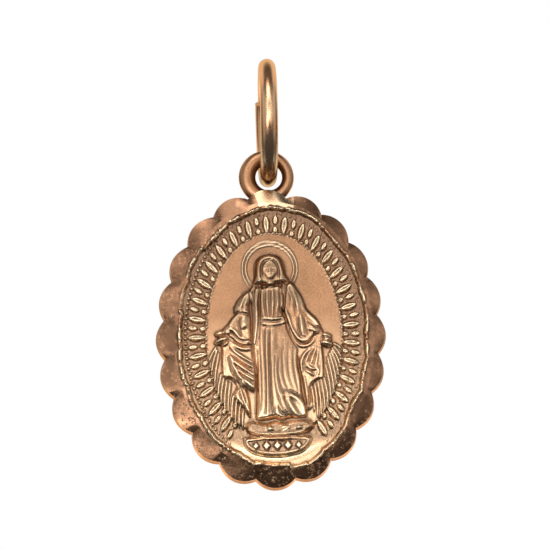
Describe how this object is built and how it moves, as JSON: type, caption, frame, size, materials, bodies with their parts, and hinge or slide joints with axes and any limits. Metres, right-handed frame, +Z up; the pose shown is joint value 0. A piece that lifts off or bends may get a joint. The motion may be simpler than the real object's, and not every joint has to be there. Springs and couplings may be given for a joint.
{
  "type": "religious medal pendant",
  "caption": "Oval rose-gold medal with a scalloped bright-cut rim and a standing veiled figure in relief, swinging from its soldered eye on a split jump ring.",
  "frame": {"origin": "where a chain bears, on the inside of the jump ring's top", "axes": "+Z up along the hanging medal's long axis, -Y towards the side that the relief faces, +X across the medal to the viewer's right"},
  "size_m": [0.0137, 0.0078, 0.0259],
  "materials": {
    "struck_gold": "rose gold: satin struck field, bright-cut rim, burnished high points, darker recesses",
    "wire_gold": "rose gold wire, polished, with fine drawing marks"
  },
  "bodies": {
    "ring": {"jump_ring": "wire_gold"},
    "pendant": {"medal": "struck_gold"}
  },
  "joints": [
    {"name": "medal_swing", "type": "hinge", "parent": "ring", "child": "pendant", "pos_m": [0, 0, -0.00622], "axis": [0, 1, 0], "range_deg": [-115, 115]}
  ]
}
